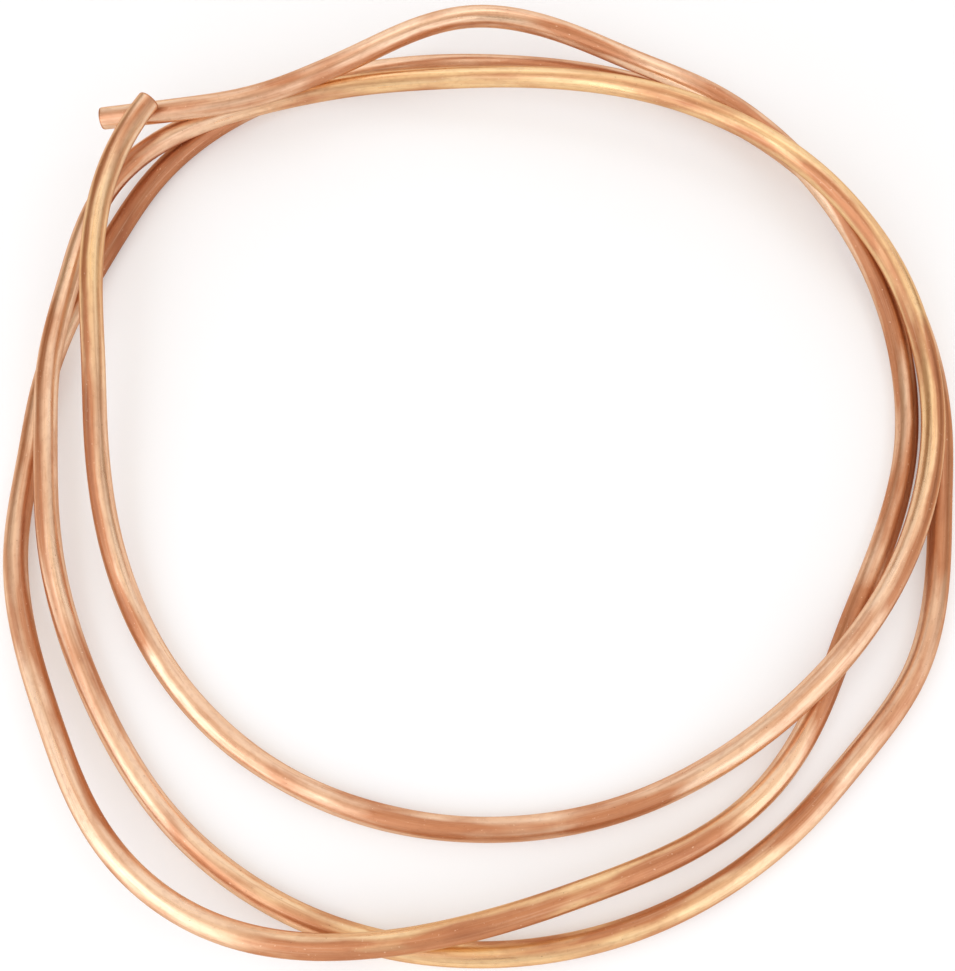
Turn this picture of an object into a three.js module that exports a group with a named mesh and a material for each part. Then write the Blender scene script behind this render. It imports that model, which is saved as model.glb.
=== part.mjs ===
// A loose coil of soft copper tube: one length of round tube, wound three times round and cut
// square at both ends, with its bore open from end to end. Millimetres, +Z up. The coil lies on
// the plane Z = 0 with its middle on the Z axis, and each crossing rests one turn on another.
import * as THREE from 'three';

// The tube's section
const tubeDiameter = 8;
const wallThickness = 1;
const boreDiameter = tubeDiameter - 2 * wallThickness;

// The coil
const coilRadius = 155;
const crossingClearance = 0.3;

// The course in plan: an angle along the coil, in degrees round from +X, and how far the centre
// line is from the middle there, as a share of coilRadius. A point stands where the bend changes,
// and the tube runs through the points in one smooth curve.
const course = [
  // The first turn: from the upper cut end down the left side
  { angle: 134.5, share: 1.103 }, { angle: 144, share: 1.049 }, { angle: 156, share: 0.958 },
  { angle: 169, share: 0.875 }, { angle: 181, share: 0.844 }, { angle: 200, share: 0.838 },
  // Along the front
  { angle: 228, share: 0.846 }, { angle: 266, share: 0.844 }, { angle: 292, share: 0.851 },
  { angle: 316, share: 0.874 }, { angle: 340, share: 0.93 },
  // Up the right side and back to the left
  { angle: 362, share: 0.988 }, { angle: 384, share: 1.008 }, { angle: 394, share: 0.993 },
  { angle: 403, share: 0.982 }, { angle: 412, share: 0.963 }, { angle: 428, share: 0.932 },
  { angle: 446, share: 0.92 }, { angle: 482, share: 1.005 },
  // The second turn: the bend at the far left and down the left side
  { angle: 504, share: 1.077 }, { angle: 518, share: 1.019 }, { angle: 530, share: 0.986 },
  { angle: 540, share: 0.962 }, { angle: 556, share: 0.966 }, { angle: 576, share: 0.997 },
  // Along the front
  { angle: 592, share: 1.042 }, { angle: 610, share: 1.075 }, { angle: 636, share: 1.082 },
  { angle: 668, share: 1.047 }, { angle: 677, share: 1.037 }, { angle: 690, share: 1.045 },
  // Up the right side and back to the left
  { angle: 712, share: 1.011 }, { angle: 722, share: 1.022 }, { angle: 752, share: 1.048 },
  { angle: 780, share: 1.032 }, { angle: 808, share: 1.005 }, { angle: 834, share: 1.037 },
  // The third turn: the bend at the far left and down the left side
  { angle: 850, share: 1.05 }, { angle: 860, share: 1.037 }, { angle: 868, share: 1.016 },
  { angle: 892, share: 1.006 }, { angle: 902, share: 1.01 }, { angle: 914, share: 1.045 },
  { angle: 937, share: 1.1 },
  // Along the front, where it reaches out furthest
  { angle: 948, share: 1.149 }, { angle: 964, share: 1.158 }, { angle: 978, share: 1.092 },
  { angle: 1002, share: 0.987 }, { angle: 1027, share: 0.957 },
  // Up the right side and back to the left
  { angle: 1051, share: 0.886 }, { angle: 1076, share: 0.93 }, { angle: 1099, share: 0.984 },
  { angle: 1117, share: 1.006 }, { angle: 1140, share: 1.036 }, { angle: 1150, share: 1.037 },
  // The hump at the back, and out to the lower cut end at the left
  { angle: 1172, share: 1.069 }, { angle: 1186, share: 0.999 }, { angle: 1195, share: 0.977 },
  { angle: 1208, share: 1.026 }, { angle: 1219, share: 1.191 },
];
const firstCutAngle = course.at(0).angle;
const lastCutAngle = course.at(-1).angle;

// The lifts: how many tubes lie beneath the centre line at an angle along the coil, counted in
// degrees as the course is. Between two lifts the tube eases from one level to the next.
const lifts = [
  { angle: 134, layers: 3.05 }, // the first end lies on the last turn
  { angle: 225, layers: 0 },
  { angle: 285, layers: 0 },
  { angle: 328, layers: 1.1 }, // over the third turn
  { angle: 370, layers: 1.1 }, // on the second turn
  { angle: 398, layers: 2.1 }, // over the third turn, which lies on the second
  { angle: 416, layers: 2.1 },
  { angle: 462, layers: 1.08 }, // on the start of the third turn
  { angle: 532, layers: 1.05 },
  { angle: 588, layers: 0 },
  { angle: 905, layers: 0 },
  { angle: 963, layers: 1.08 }, // over the second turn
  { angle: 987, layers: 1.08 },
  { angle: 1035, layers: 0 },
  { angle: 1085, layers: 0 },
  { angle: 1124, layers: 1.05 }, // between the first turn and the second
  { angle: 1140, layers: 1.08 },
  { angle: 1186, layers: 2.15 }, // over the first turn and the second
  { angle: 1208, layers: 2.15 },
  { angle: 1236, layers: 1.2 }, // down past the first turn to the last cut end
];

// How finely the solid follows the tube
const sidesPerHalfRound = 7;
const pathSteps = 200;
const lengthSamples = 3000;

/** A cubic spline through [place, value] points whose places rise. */
class CubicSpline {
  constructor(points) {
    this.points = points;
    this.bends = CubicSpline.solveBends(points);
  }

  /**
   * The second derivative at each point, by the tridiagonal method. The first and the last repeat
   * their neighbours', so that the tube runs out to its cut ends in the curve it has there.
   */
  static solveBends(points) {
    const last = points.length - 1;
    const width = (i) => points[i + 1][0] - points[i][0];
    const slope = (i) => (points[i + 1][1] - points[i][1]) / width(i);
    const ratio = new Array(last + 1).fill(0);
    const part = new Array(last + 1).fill(0);
    for (let i = 1; i < last; i++) {
      const before = width(i - 1);
      const after = width(i);
      const repeated = (i === 1 ? before : 0) + (i === last - 1 ? after : 0);
      const pivot = 2 * (before + after) + repeated - before * ratio[i - 1];
      ratio[i] = after / pivot;
      part[i] = (6 * (slope(i) - slope(i - 1)) - before * part[i - 1]) / pivot;
    }
    const bends = new Array(last + 1).fill(0);
    for (let i = last - 1; i > 0; i--) {
      bends[i] = part[i] - ratio[i] * bends[i + 1];
    }
    bends[0] = bends[1];
    bends[last] = bends[last - 1];
    return bends;
  }

  at(place) {
    const passed = this.points.filter(([start]) => start <= place).length;
    const i = THREE.MathUtils.clamp(passed - 1, 0, this.points.length - 2);
    const [start, value] = this.points[i];
    const [end, nextValue] = this.points[i + 1];
    const b = (place - start) / (end - start);
    const a = 1 - b;
    const bow = (a ** 3 - a) * this.bends[i] + (b ** 3 - b) * this.bends[i + 1];
    return a * value + b * nextValue + (bow * (end - start) ** 2) / 6;
  }
}

/** How many tubes lie beneath the centre line at an angle in degrees. */
function layersAt(angle) {
  const passed = lifts.filter((lift) => lift.angle <= angle).length;
  const from = lifts[Math.max(passed - 1, 0)];
  const to = lifts[Math.min(Math.max(passed, 1), lifts.length - 1)];
  return THREE.MathUtils.lerp(
    from.layers,
    to.layers,
    THREE.MathUtils.smoothstep(angle, from.angle, to.angle),
  );
}

/** The tube's centre line, from the first cut end to the last. */
class CoilCourse extends THREE.Curve {
  constructor() {
    super();
    this.arcLengthDivisions = lengthSamples;
    this.shares = new CubicSpline(course.map((point) => [point.angle, point.share]));
  }

  getPoint(t, target = new THREE.Vector3()) {
    const angle = THREE.MathUtils.lerp(firstCutAngle, lastCutAngle, t);
    const radius = coilRadius * this.shares.at(angle);
    const turned = THREE.MathUtils.degToRad(angle);
    return target.set(
      radius * Math.cos(turned),
      radius * Math.sin(turned),
      tubeDiameter / 2 + layersAt(angle) * (tubeDiameter + crossingClearance),
    );
  }
}

/** The tube's ring-shaped section. */
function tubeSection() {
  const section = new THREE.Shape();
  section.absarc(0, 0, tubeDiameter / 2, 0, 2 * Math.PI);
  const bore = new THREE.Path();
  bore.absarc(0, 0, boreDiameter / 2, 0, 2 * Math.PI);
  section.holes.push(bore);
  return section;
}

/** Moves a geometry so that it stands on Z = 0 with the middle of its plan on the Z axis. */
function seatOnFloor(geometry) {
  geometry.computeBoundingBox();
  const middle = geometry.boundingBox.getCenter(new THREE.Vector3());
  geometry.translate(-middle.x, -middle.y, -geometry.boundingBox.min.z);
}

const copper = new THREE.MeshStandardMaterial({ color: 0xc87a4e, roughness: 0.28, metalness: 1 });

function makeTube() {
  const geometry = new THREE.ExtrudeGeometry(tubeSection(), {
    steps: pathSteps,
    curveSegments: sidesPerHalfRound,
    extrudePath: new CoilCourse(),
  });
  seatOnFloor(geometry);
  const tube = new THREE.Mesh(geometry, copper);
  tube.name = 'copper_tube';
  return tube;
}

const coil = new THREE.Group();
coil.add(makeTube());

export default coil;
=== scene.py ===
"""A loose coil of soft copper tube on a pale floor. Metres, in the CAD frame."""

import math

import bpy
import numpy as np
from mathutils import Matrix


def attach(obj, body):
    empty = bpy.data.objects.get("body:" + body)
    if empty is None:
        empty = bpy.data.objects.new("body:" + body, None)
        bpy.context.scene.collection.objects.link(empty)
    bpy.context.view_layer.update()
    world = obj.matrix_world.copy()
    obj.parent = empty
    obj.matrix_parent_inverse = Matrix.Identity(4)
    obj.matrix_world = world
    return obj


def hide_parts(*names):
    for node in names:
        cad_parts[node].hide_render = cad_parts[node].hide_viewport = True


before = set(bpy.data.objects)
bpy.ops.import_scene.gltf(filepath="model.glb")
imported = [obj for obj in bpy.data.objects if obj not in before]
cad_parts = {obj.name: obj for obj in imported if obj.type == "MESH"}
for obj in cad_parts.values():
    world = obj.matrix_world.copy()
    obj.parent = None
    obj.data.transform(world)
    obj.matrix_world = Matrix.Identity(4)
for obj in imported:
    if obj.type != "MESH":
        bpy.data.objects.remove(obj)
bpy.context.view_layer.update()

# ---------------------------------------------------------------- the tube's sizes and course

OUTER_R = 0.004
BORE_R = 0.003
COIL_R = 0.155
CROSSING_CLEARANCE = 0.0003
LAYER = 2 * OUTER_R + CROSSING_CLEARANCE

# The course in plan: an angle along the coil in degrees, and how far the centre line is from
# the middle there, as a share of COIL_R
COURSE_POINTS = [
    # The first turn: from the upper cut end down the left side
    (134.5, 1.103), (144, 1.049), (156, 0.958), (169, 0.875), (181, 0.844), (200, 0.838),
    # Along the front
    (228, 0.846), (266, 0.844), (292, 0.851), (316, 0.874), (340, 0.93),
    # Up the right side and back to the left
    (362, 0.988), (384, 1.008), (394, 0.993), (403, 0.982), (412, 0.963), (428, 0.932),
    (446, 0.92), (482, 1.005),
    # The second turn: the bend at the far left and down the left side
    (504, 1.077), (518, 1.019), (530, 0.986), (540, 0.962), (556, 0.966), (576, 0.997),
    # Along the front
    (592, 1.042), (610, 1.075), (636, 1.082), (668, 1.047), (677, 1.037), (690, 1.045),
    # Up the right side and back to the left
    (712, 1.011), (722, 1.022), (752, 1.048), (780, 1.032), (808, 1.005), (834, 1.037),
    # The third turn: the bend at the far left and down the left side
    (850, 1.05), (860, 1.037), (868, 1.016), (892, 1.006), (902, 1.01), (914, 1.045), (937, 1.1),
    # Along the front, where it reaches out furthest
    (948, 1.149), (964, 1.158), (978, 1.092), (1002, 0.987), (1027, 0.957),
    # Up the right side and back to the left
    (1051, 0.886), (1076, 0.93), (1099, 0.984), (1117, 1.006), (1140, 1.036), (1150, 1.037),
    # The hump at the back, and out to the lower cut end at the left
    (1172, 1.069), (1186, 0.999), (1195, 0.977), (1208, 1.026), (1219, 1.191),
]
FIRST_CUT = COURSE_POINTS[0][0]
LAST_CUT = COURSE_POINTS[-1][0]

# The lifts: an angle along the coil in degrees, and how many tubes lie beneath it there
LIFTS = [
    (134, 3.05), (225, 0), (285, 0), (328, 1.1), (370, 1.1), (398, 2.1), (416, 2.1),
    (462, 1.08), (532, 1.05), (588, 0), (905, 0), (963, 1.08), (987, 1.08), (1035, 0),
    (1085, 0), (1124, 1.05), (1140, 1.08), (1186, 2.15), (1208, 2.15), (1236, 1.2),
]


def cubic_spline(points, at):
    """A cubic spline through (place, value) points, read at the places in at. The second
    derivative at each end repeats its neighbour's."""
    places, values = np.array(points, float).T
    last = len(places) - 1
    width = np.diff(places)
    slope = np.diff(values) / width
    matrix = np.eye(last + 1)
    matrix[0, 1] = matrix[last, last - 1] = -1
    pull = np.zeros(last + 1)
    for i in range(1, last):
        matrix[i, i - 1 : i + 2] = (width[i - 1], 2 * (width[i - 1] + width[i]), width[i])
        pull[i] = 6 * (slope[i] - slope[i - 1])
    bends = np.linalg.solve(matrix, pull)
    i = np.clip(np.searchsorted(places, at, side="right") - 1, 0, last - 1)
    b = (at - places[i]) / width[i]
    a = 1 - b
    bow = (a**3 - a) * bends[i] + (b**3 - b) * bends[i + 1]
    return a * values[i] + b * values[i + 1] + bow * width[i] ** 2 / 6


def layers_at(angles):
    """How many tubes lie beneath the centre line, with a smooth ease between lifts."""
    places, layers = np.array(LIFTS, float).T
    i = np.clip(np.searchsorted(places, angles, side="right") - 1, 0, len(places) - 2)
    share = np.clip((angles - places[i]) / (places[i + 1] - places[i]), 0, 1)
    eased = share * share * (3 - 2 * share)
    return layers[i] + (layers[i + 1] - layers[i]) * eased


def course(shares):
    """Points of the centre line, at shares from 0 to 1 of its whole angle."""
    angles = FIRST_CUT + (LAST_CUT - FIRST_CUT) * shares
    radius = COIL_R * cubic_spline(COURSE_POINTS, angles)
    turned = np.radians(angles)
    height = OUTER_R + layers_at(angles) * LAYER
    return np.stack([radius * np.cos(turned), radius * np.sin(turned), height], axis=1)


def angle_along(points):
    """The angle along the coil, in degrees, of each point of the centre line."""
    turned = np.degrees(np.unwrap(np.arctan2(points[:, 1], points[:, 0])))
    return turned + 360 * round((FIRST_CUT - turned[0]) / 360)


# ---------------------------------------------------------------- the tube's shape

RING_SPACING = 0.0025
OUTER_SIDES = 40
BORE_SIDES = 20
SHARP_ANGLE = math.radians(50)

# How far from round, for each harmonic round the section: a share of the radius, and the length
# in metres over which it changes
OUT_OF_ROUND = {
    2: (0.012, 0.03),
    3: (0.004, 0.024),
    4: (0.0025, 0.02),
    5: (0.0018, 0.02),
    6: (0.0014, 0.018),
}
OUT_OF_ROUND_SEED = 11

# The wheel of a tube cutter rolls the edge of each cut inwards. Over EDGE_LENGTH the outside
# falls by EDGE_FALL and the bore closes by BORE_CLOSING, and the rings stand closer together
EDGE_LENGTH = 0.001
EDGE_FALL = 0.0004
BORE_CLOSING = 0.00015
EDGE_RINGS = (0, 0.00004, 0.00012, 0.00022, 0.00036, 0.00055, 0.0008, 0.0011)

# How many points of the course are worked out before the rings are spaced along it
COURSE_SAMPLES = 40001


def stations():
    """Where the rings stand on the centre line, and how far along it each is from the first
    cut."""
    fine = course(np.linspace(0, 1, COURSE_SAMPLES))
    run = np.r_[0, np.cumsum(np.linalg.norm(np.diff(fine, axis=0), axis=1))]
    length = run[-1]
    edge = np.array(EDGE_RINGS)
    middle = np.linspace(0, length, int(length / RING_SPACING) + 1)[1:-1]
    along = np.r_[edge, middle, (length - edge)[::-1]]
    return np.stack([np.interp(along, run, fine[:, k]) for k in range(3)], axis=1), along


def frames(points, along):
    """Tangent and two cross directions at each point, turning no more than the course does."""
    tangents = np.gradient(points, along, axis=0)
    tangents /= np.linalg.norm(tangents, axis=1)[:, None]
    side = np.cross((0, 0, 1), tangents[0])
    sides = np.empty_like(points)
    for i, tangent in enumerate(tangents):
        side = side - tangent * (side @ tangent)
        side /= np.linalg.norm(side)
        sides[i] = side
    return tangents, sides, np.cross(tangents, sides)


def side_faces(rings, sides, start, flip=False):
    """The quads between neighbouring rings of a sweep, whose first vertex is start."""
    faces = []
    for i in range(rings - 1):
        for j in range(sides):
            a = start + i * sides + j
            b = start + i * sides + (j + 1) % sides
            quad = (a, b, b + sides, a + sides)
            faces.append(quad[::-1] if flip else quad)
    return faces


def cut_faces(rings):
    """The ring-shaped faces of the two cuts. Each has more corners on the outside than on the
    bore, which has fewer sides."""
    bore_start = rings * OUTER_SIDES
    per = OUTER_SIDES // BORE_SIDES
    faces = []
    for ring, flip in ((0, True), (rings - 1, False)):
        outer = ring * OUTER_SIDES
        inner = bore_start + ring * BORE_SIDES
        for j in range(BORE_SIDES):
            face = [inner + j] + [outer + (j * per + k) % OUTER_SIDES for k in range(per + 1)]
            face.append(inner + (j + 1) % BORE_SIDES)
            faces.append(face[::-1] if flip else face)
    return faces


def tube_faces(rings):
    """All faces of the tube: its outside, its bore and its two cuts."""
    outside = side_faces(rings, OUTER_SIDES, 0)
    bore = side_faces(rings, BORE_SIDES, rings * OUTER_SIDES, flip=True)
    return outside + bore + cut_faces(rings)


def out_of_round(along, angles):
    """How far the drawn and hand-wound section is from round, as a share of its radius: each
    harmonic round the tube grows, fades and turns along it."""
    rng = np.random.default_rng(OUT_OF_ROUND_SEED)
    share = np.zeros((len(along), len(angles)))
    for harmonic, (amount, length) in OUT_OF_ROUND.items():
        knots = np.arange(0, along[-1] + 2 * length, length)
        for wave in (np.cos, np.sin):
            drawn = rng.normal(0, amount, len(knots))
            strength = cubic_spline(np.column_stack([knots, drawn]), along)
            share += strength[:, None] * wave(harmonic * angles)
    return share


def sweep(points, sides, ups, radii, count, along):
    """Rings of points round a centre line, count to a ring, and where each point is across the
    section."""
    angles = np.linspace(0, 2 * np.pi, count, endpoint=False)
    reach = radii[:, None] * (1 + out_of_round(along, angles))
    right = reach[:, :, None] * np.cos(angles)[None, :, None]
    up = reach[:, :, None] * np.sin(angles)[None, :, None]
    rings = points[:, None] + right * sides[:, None] + up * ups[:, None]
    places = np.concatenate([right, up], axis=2)
    return rings.reshape(-1, 3), places.reshape(-1, 2)


# ---------------------------------------------------------------- stains, painted shade and tints

# Patches of painted shade, mostly where strands lie under or beside others, and of tarnish: from
# one angle along the coil to another, then from one roll to another round the tube, in degrees
# from its top towards the outside of the coil, and how strongly, where 1 is brown and 1.5 the
# darkest
SHADE_AND_TARNISH_PATCHES = [
    # The first turn
    (130, 140, -70, 0, 0.5), (140, 172, 0, 34, 1), (172, 211, 4, 52, 1.5),
    (252, 297, -20, 75, 0.7), (334, 372, 4, 48, 1.2), (374, 401, -70, -8, 0.9),
    (438, 468, -44, -16, 0.6),
    # The second turn
    (497, 512, -60, 30, 1), (523, 566, 4, 42, 0.8), (598, 612, 0, 48, 0.7),
    (626, 676, -75, 4, 0.7), (698, 730, -90, 90, 1), (782, 824, -50, -4, 1),
    # The third turn
    (846, 878, -180, 180, 1.5), (892, 916, 5, 60, 0.9), (898, 950, -100, -18, 0.8),
    (970, 1020, -26, 80, 0.9), (1036, 1050, -10, 90, 1.2), (1044, 1060, -180, 180, 0.8),
    (1060, 1115, 28, 180, 0.9), (1062, 1100, -85, -42, 0.8), (1064, 1100, -110, 28, 0.45),
    (1096, 1116, -60, 180, 1.5), (1124, 1142, -48, 14, 1.3), (1150, 1164, -58, 4, 0.9),
    (1166, 1194, -95, -58, 1), (1210, 1224, -70, 10, 0.6),
]
SHADE_AND_TARNISH_EDGE = 5
SHADE_AND_TARNISH_ROLL_EDGE = 14
# The rolled edges of the cuts are painted the darkest
CUT_DARKENING = 1.5

# Stretches with a golden tint, as angles along the coil; the rest is rosier
GOLDEN = [(146, 168), (352, 478), (606, 660), (972, 1020)]
GOLDEN_EDGE = 12


def inside(value, start, end, edge):
    """1 within the span and 0 outside it, with a straight ramp from one edge within either end
    to one edge beyond it."""
    half = (end - start) / 2
    return (1 + np.clip((half - abs(value - (start + end) / 2)) / edge, -1, 1)) / 2


def golden(points):
    """How golden the copper is at each point of the centre line, from 0 to 1."""
    turned = angle_along(points)
    return np.max([inside(turned, *span, GOLDEN_EDGE) for span in GOLDEN], axis=0)


def shade_and_tarnish(points, rings, tangents):
    """How strongly each point of the tube's rings is darkened by the patches of painted shade and
    tarnish.
    """
    outward = np.cross(tangents, (0, 0, 1))
    outward /= np.linalg.norm(outward, axis=1)[:, None]
    up = np.cross(outward, tangents)
    arms = rings - points[:, None]
    reach_out = np.einsum("ijk,ik->ij", arms, outward)
    reach_up = np.einsum("ijk,ik->ij", arms, up)
    roll = np.degrees(np.arctan2(reach_out, reach_up))
    turned = angle_along(points)
    level = np.zeros(roll.shape)
    for start, end, roll_from, roll_to, strength in SHADE_AND_TARNISH_PATCHES:
        middle, half = (roll_from + roll_to) / 2, (roll_to - roll_from) / 2
        off = (roll - middle + 180) % 360 - 180
        patch = inside(turned, start, end, SHADE_AND_TARNISH_EDGE)[:, None]
        patch = strength * patch * inside(off, -half, half, SHADE_AND_TARNISH_ROLL_EDGE)
        level = np.maximum(level, patch)
    return level


# ---------------------------------------------------------------- the piece


def new_piece(name, vertices, faces):
    """A mesh of its own in the scene."""
    mesh = bpy.data.meshes.new(name)
    mesh.from_pydata([tuple(v) for v in vertices], [], faces)
    mesh.update()
    piece = bpy.data.objects.new(name, mesh)
    bpy.context.scene.collection.objects.link(piece)
    return piece


def paint(piece, name, values):
    """Keeps a number or a place for each vertex of a piece, for its material."""
    kind, key = ("FLOAT_VECTOR", "vector") if values.ndim == 2 else ("FLOAT", "value")
    piece.data.attributes.new(name, kind, "POINT").data.foreach_set(key, values.ravel())


def for_each_vertex(values):
    """Repeats a value for each ring over the ring's vertices, first outside, then in the bore."""
    return np.r_[np.repeat(values, OUTER_SIDES), np.repeat(values, BORE_SIDES)]


def make_tube():
    """The tube where the CAD tube is, and how far it was moved there from the course's origin."""
    points, along = stations()
    tangents, sides, ups = frames(points, along)
    rings = len(points)
    from_cut = np.minimum(along, along[-1] - along)
    rolled = np.clip(1 - from_cut / EDGE_LENGTH, 0, 1)
    outer_radii = OUTER_R - EDGE_FALL * (1 - np.sqrt(1 - rolled**2))
    bore_radii = BORE_R - BORE_CLOSING * rolled**2
    outer, outer_places = sweep(points, sides, ups, outer_radii, OUTER_SIDES, along)
    inner, inner_places = sweep(points, sides, ups, bore_radii, BORE_SIDES, along)
    low, high = outer.min(axis=0), outer.max(axis=0)
    shift = -np.array([(low[0] + high[0]) / 2, (low[1] + high[1]) / 2, low[2]])
    faces = tube_faces(rings)
    piece = new_piece("tube", np.concatenate([outer, inner]) + shift, faces)
    piece.data.polygons.foreach_set("use_smooth", [True] * len(faces))
    piece.data.set_sharp_from_angle(angle=SHARP_ANGLE)
    # Where each vertex is on the tube as if it were straight
    across = np.concatenate([outer_places, inner_places])
    paint(piece, "tube_place", np.column_stack([across, for_each_vertex(along)]))
    # Painted shade and tarnish from the patches, darkest at the rolled edges of the cuts
    darkening = shade_and_tarnish(points, outer.reshape(rings, OUTER_SIDES, 3), tangents)
    darkening = np.maximum(darkening, CUT_DARKENING * rolled[:, None])
    paint(piece, "shade_and_tarnish", np.r_[darkening.ravel(), np.zeros(len(inner))])
    paint(piece, "golden", for_each_vertex(golden(points)))
    return piece, shift


tube, SHIFT = make_tube()
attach(tube, "root")
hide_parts("copper_tube")

# ---------------------------------------------------------------- shader nodes


def node(tree, kind, inputs, **settings):
    """A shader node, with its sockets set to values or linked to other nodes' outputs."""
    made = tree.nodes.new(kind)
    for name, value in settings.items():
        setattr(made, name, value)
    for name, value in inputs.items():
        if isinstance(value, bpy.types.NodeSocket):
            tree.links.new(value, made.inputs[name])
        else:
            made.inputs[name].default_value = value
    return made


# ---------------------------------------------------------------- copper

COPPER_PALE = (0.93, 0.69, 0.48, 1)
COPPER_ROSY = (0.885, 0.59, 0.39, 1)
GOLDEN_TINT = (1, 0.99, 0.77, 1)
COPPER_BROWN = (0.56, 0.23, 0.105, 1)
COPPER_DARK = (0.36, 0.12, 0.055, 1)
COPPER_SPECK = (0.3, 0.12, 0.06, 1)
# The metal's tint where it is seen at a grazing angle
COPPER_EDGE = (0.75, 0.5, 0.33, 1)

MM_PER_M = 1000

# Noises over the tube as if it were straight: their sizes in millimetres across and along it,
# and how many finer levels each has
NOISES = {
    "stains": (7, 34, 2),
    "streaks": (2.4, 42, 2),
    "lines": (0.55, 32, 2),
    "mottling": (1.1, 2.6, 3),
    "specks": (0.7, 1, 3),
}
# The shade is the stains with this share of the patches of painted shade and tarnish added
SHADE_AND_TARNISH_SHARE = 0.36

# A layer of colour: what says where it lies, the value at which it starts to show, the value at
# which it is strongest, how much it then covers, and its colour
PALE_STREAKS = ("streaks", 0.47, 0.66, 0.5, COPPER_PALE)
# Tarnish, drawing marks and specks; the two shade layers carry painted shade, the pale specks are
# painted glints
TARNISH_SHADE_AND_GLINTS = [
    ("streaks", 0.46, 0.3, 0.5, COPPER_BROWN),
    ("shade", 0.5, 0.74, 0.95, COPPER_BROWN),
    ("shade", 0.85, 1.15, 0.8, COPPER_DARK),
    ("lines", 0.46, 0.3, 0.15, COPPER_PALE),
    ("lines", 0.54, 0.72, 0.22, COPPER_DARK),
    ("mottling", 0.48, 0.7, 0.18, COPPER_DARK),
    ("specks", 0.7, 0.76, 0.6, COPPER_SPECK),
    # Pale specks: painted glints
    ("specks", 0.32, 0.26, 0.6, COPPER_PALE),
]

# The relief of the drawing marks: a noise and its depth in millimetres
RELIEF = [("streaks", 0.12), ("lines", 0.03)]

# The metal is rougher over the stains and the painted shade: two values of the shade, and the
# roughness at each
ROUGHNESS = (0.35, 0.75, 0.25, 0.42)
COAT = 0.25
COAT_ROUGHNESS = 0.25


def make_copper():
    """Drawn soft copper, tarnished in places, with painted shade and painted glints."""
    material = bpy.data.materials.new("copper")
    material.use_nodes = True
    tree = material.node_tree
    place = node(tree, "ShaderNodeAttribute", {}, attribute_name="tube_place").outputs["Vector"]

    def noise(across, along, detail):
        scale = (MM_PER_M / across, MM_PER_M / across, MM_PER_M / along)
        laid = node(tree, "ShaderNodeMapping", {"Vector": place, "Scale": scale})
        inputs = {"Vector": laid.outputs["Vector"], "Scale": 1, "Detail": detail}
        return node(tree, "ShaderNodeTexNoise", inputs).outputs["Fac"]

    def painted(name):
        return node(tree, "ShaderNodeAttribute", {}, attribute_name=name).outputs["Fac"]

    def spread(value, low, high, to_low, to_high):
        inputs = {"Value": value, "From Min": low, "From Max": high}
        inputs |= {"To Min": to_low, "To Max": to_high}
        return node(tree, "ShaderNodeMapRange", inputs).outputs["Result"]

    def mix(factor, first, second, **settings):
        # The node's two colours are its inputs 6 and 7, and the mixed one its output 2
        inputs = {"Factor": factor, 6: first, 7: second}
        return node(tree, "ShaderNodeMix", inputs, data_type="RGBA", **settings).outputs[2]

    def lay(layer, over):
        where, start, full, cover, colour = layer
        return mix(spread(maps[where], start, full, 0, cover), over, colour)

    maps = {name: noise(*sizes) for name, sizes in NOISES.items()}
    # The shade: the stains, with the painted shade and tarnish of the patches
    shade = {0: painted("shade_and_tarnish"), 1: SHADE_AND_TARNISH_SHARE, 2: maps["stains"]}
    shade = node(tree, "ShaderNodeMath", shade, operation="MULTIPLY_ADD").outputs["Value"]
    maps["shade"] = shade

    colour = lay(PALE_STREAKS, COPPER_ROSY)
    colour = mix(painted("golden"), colour, GOLDEN_TINT, blend_type="MULTIPLY")
    for layer in TARNISH_SHADE_AND_GLINTS:
        colour = lay(layer, colour)

    # Each bump rests on the one below it
    below = {}
    for name, depth in RELIEF:
        height = {"Height": maps[name], "Distance": depth / MM_PER_M, "Strength": 1}
        below = {"Normal": node(tree, "ShaderNodeBump", below | height).outputs["Normal"]}

    surface = tree.nodes["Principled BSDF"]
    surface.inputs["Metallic"].default_value = 1
    surface.inputs["Specular Tint"].default_value = COPPER_EDGE
    surface.inputs["Coat Weight"].default_value = COAT
    surface.inputs["Coat Roughness"].default_value = COAT_ROUGHNESS
    tree.links.new(colour, surface.inputs["Base Color"])
    tree.links.new(spread(shade, *ROUGHNESS), surface.inputs["Roughness"])
    tree.links.new(below["Normal"], surface.inputs["Normal"])
    return material


tube.data.materials.append(make_copper())

# ---------------------------------------------------------------- floor

# Half the floor's side, out to the horizon
FLOOR_HALF = 30

corners = [(-1, -1), (1, -1), (1, 1), (-1, 1)]
floor_corners = [(FLOOR_HALF * x, FLOOR_HALF * y, 0) for x, y in corners]
floor = new_piece("floor", floor_corners, [(0, 1, 2, 3)])

WHITE = (1, 1, 1, 1)
PAPER_COLOUR = (0.7, 0.7, 0.7, 1)
# What is seen of the paper is lifted by this much light
PAPER_LIFT = 0.3
# Between these distances from the middle it turns plain white
PAPER_NEAR = 0.45
PAPER_FAR = 0.9


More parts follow.
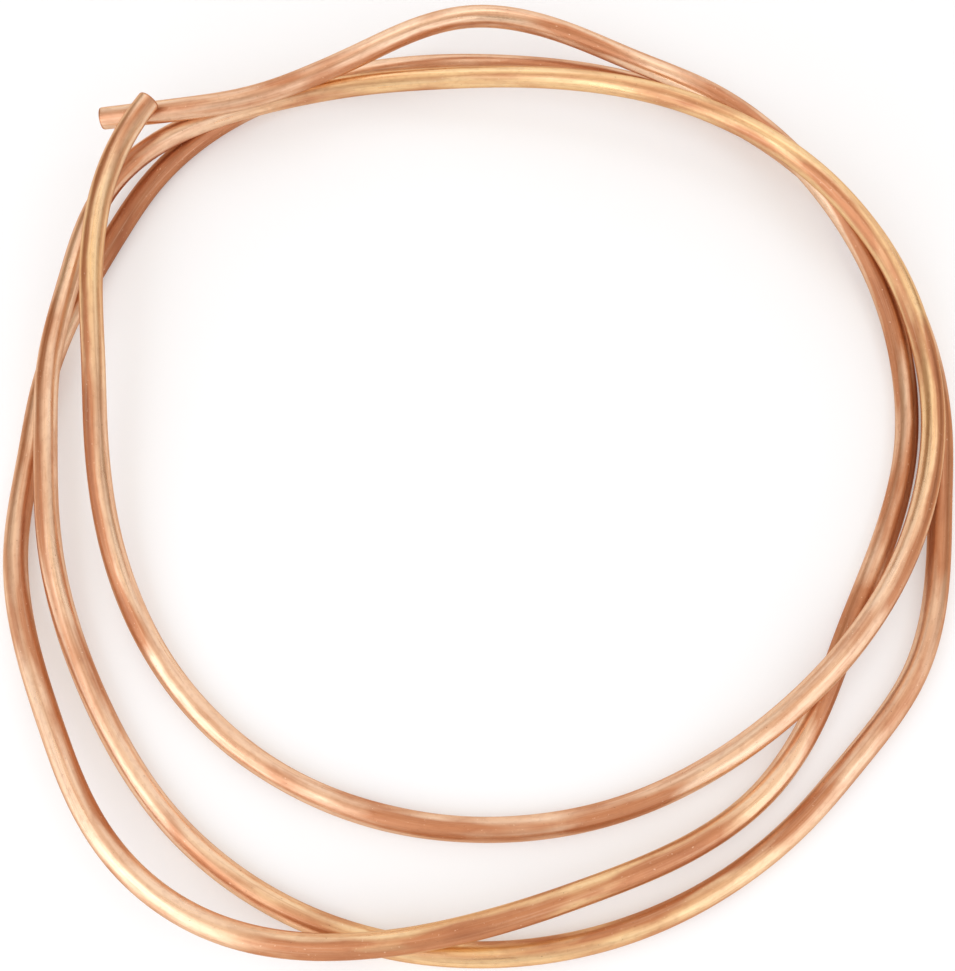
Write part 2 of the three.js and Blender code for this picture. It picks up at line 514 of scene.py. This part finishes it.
def make_paper():
    """White paper. What the camera and the metal see of it is lifted to white, with the shadows
    kept near the coil; far from it, behind the soft boxes, they see plain white."""
    material = bpy.data.materials.new("paper")
    material.use_nodes = True
    tree = material.node_tree
    ray = node(tree, "ShaderNodeLightPath", {}).outputs
    seen = ray["Is Camera Ray"]
    for kind in ("Is Glossy Ray", "Is Transmission Ray"):
        both = node(tree, "ShaderNodeMath", {0: seen, 1: ray[kind]}, operation="MAXIMUM")
        seen = both.outputs["Value"]
    lift = node(tree, "ShaderNodeMath", {0: seen, 1: PAPER_LIFT}, operation="MULTIPLY")
    surface = tree.nodes["Principled BSDF"]
    surface.inputs["Base Color"].default_value = PAPER_COLOUR
    surface.inputs["Roughness"].default_value = 1
    surface.inputs["Specular IOR Level"].default_value = 0
    surface.inputs["Emission Color"].default_value = WHITE
    tree.links.new(lift.outputs["Value"], surface.inputs["Emission Strength"])
    spot = node(tree, "ShaderNodeTexCoord", {}).outputs["Object"]
    reach = node(tree, "ShaderNodeVectorMath", {0: spot}, operation="LENGTH").outputs["Value"]
    far = {"Value": reach, "From Min": PAPER_NEAR, "From Max": PAPER_FAR, "To Max": seen}
    far = node(tree, "ShaderNodeMapRange", far, interpolation_type="SMOOTHSTEP").outputs["Result"]
    white = node(tree, "ShaderNodeEmission", {"Strength": 1}).outputs["Emission"]
    paper = node(tree, "ShaderNodeMixShader", {0: far, 1: surface.outputs["BSDF"], 2: white})
    tree.links.new(paper.outputs["Shader"], tree.nodes["Material Output"].inputs["Surface"])
    return material


floor.data.materials.append(make_paper())

# ---------------------------------------------------------------- light

# A warm light all round, and white light low down and from overhead. The low light fades out at
# LOW_HEIGHT, the sine of an elevation. The overhead light is strongest from OVERHEAD_FROM, and
# fades out where the cosine of the angle from there is OVERHEAD_EDGE
AROUND_LEVEL = 0.39
AROUND_COLOUR = (1, 0.74, 0.51, 1)
LOW_LEVEL = 0.6
LOW_HEIGHT = 0.26
OVERHEAD_LEVEL = 0.88
OVERHEAD_FROM = (0.03, 0.08, 0.996)
OVERHEAD_EDGE = 0.77


def make_world():
    """The light that comes from all round the scene."""
    world = bpy.data.worlds.new("studio")
    world.use_nodes = True
    tree = world.node_tree
    towards = node(tree, "ShaderNodeTexCoord", {}).outputs["Generated"]

    def fade(value, start, end, to_start, to_end):
        inputs = {"Value": value, "From Min": start, "From Max": end}
        inputs |= {"To Min": to_start, "To Max": to_end}
        faded = node(tree, "ShaderNodeMapRange", inputs, interpolation_type="SMOOTHSTEP")
        return faded.outputs["Result"]

    height = node(tree, "ShaderNodeSeparateXYZ", {"Vector": towards}).outputs["Z"]
    low = fade(height, 0, LOW_HEIGHT, LOW_LEVEL, 0)
    facing = {0: towards, 1: OVERHEAD_FROM}
    facing = node(tree, "ShaderNodeVectorMath", facing, operation="DOT_PRODUCT").outputs["Value"]
    overhead = fade(facing, OVERHEAD_EDGE, 1, 0, OVERHEAD_LEVEL)
    white = node(tree, "ShaderNodeMath", {0: low, 1: overhead}, operation="ADD").outputs["Value"]
    white = node(tree, "ShaderNodeBackground", {"Strength": white}).outputs["Background"]
    around = tree.nodes["Background"]
    around.inputs["Color"].default_value = AROUND_COLOUR
    around.inputs["Strength"].default_value = AROUND_LEVEL
    light = node(tree, "ShaderNodeAddShader", {0: around.outputs["Background"], 1: white})
    tree.links.new(light.outputs["Shader"], tree.nodes["World Output"].inputs["Surface"])
    return world


bpy.context.scene.world = make_world()

# Soft boxes round the coil: where each stands, as degrees round from +X and down from overhead,
# how wide and high it looks from the coil in degrees, and how bright its face is
SOFT_BOXES = {
    "left": {"turn": 190, "tilt": 56, "wide": 36, "high": 70, "radiance": 0.8},
    "front_left": {"turn": 226, "tilt": 61, "wide": 40, "high": 70, "radiance": 1.45},
    "front_right": {"turn": 328, "tilt": 58, "wide": 50, "high": 58, "radiance": 1.05},
    "front": {"turn": 274, "tilt": 66, "wide": 58, "high": 44, "radiance": 0.5},
    "back": {"turn": 76, "tilt": 54, "wide": 84, "high": 58, "radiance": 0.75},
}
BOX_DISTANCE = 1.0
BOX_COLOUR = (0.9, 1.03, 1.18)


def make_soft_box(name, turn, tilt, wide, high, radiance):
    """A rectangular lamp that faces the coil."""
    width = 2 * BOX_DISTANCE * math.tan(math.radians(wide / 2))
    height = 2 * BOX_DISTANCE * math.tan(math.radians(high / 2))
    lamp = bpy.data.lights.new(name, "AREA")
    lamp.shape = "RECTANGLE"
    lamp.size = width
    lamp.size_y = height
    lamp.color = BOX_COLOUR
    # Each square metre of a face sends out pi times its radiance
    lamp.energy = radiance * math.pi * width * height
    box = bpy.data.objects.new(name, lamp)
    turn, tilt = math.radians(turn), math.radians(tilt)
    away = (math.sin(tilt) * math.cos(turn), math.sin(tilt) * math.sin(turn), math.cos(tilt))
    box.location = BOX_DISTANCE * np.array(away)
    box.rotation_euler = (tilt, 0, turn + math.pi / 2)
    bpy.context.scene.collection.objects.link(box)


for name, box in SOFT_BOXES.items():
    make_soft_box(name, **box)

# ---------------------------------------------------------------- camera

# The photograph's viewing angle, its focal length and scale in its own pixels, and what it is
# centred on, from the course's origin
ELEVATION = math.radians(70)
FOCAL_PX = 1400
SCALE_PX_PER_M = 2900
IMAGE_WIDTH_PX = 955
TARGET_X = -0.0022
TARGET_Y = -0.0144
SENSOR_MM = 36


def make_camera():
    """A camera in front of the coil that looks down on it, from as far as makes a metre at its
    target SCALE_PX_PER_M pixels wide."""
    lens = bpy.data.cameras.new("camera")
    lens.sensor_fit = "HORIZONTAL"
    lens.sensor_width = SENSOR_MM
    lens.lens = SENSOR_MM * FOCAL_PX / IMAGE_WIDTH_PX
    made = bpy.data.objects.new("camera", lens)
    target = np.array([SHIFT[0] + TARGET_X, SHIFT[1] + TARGET_Y, 0])
    distance = FOCAL_PX / SCALE_PX_PER_M
    made.location = target + distance * np.array([0, -math.cos(ELEVATION), math.sin(ELEVATION)])
    made.rotation_euler = (math.pi / 2 - ELEVATION, 0, 0)
    bpy.context.scene.collection.objects.link(made)
    return made


bpy.context.scene.camera = make_camera()

bpy.context.scene.view_settings.view_transform = "Standard"
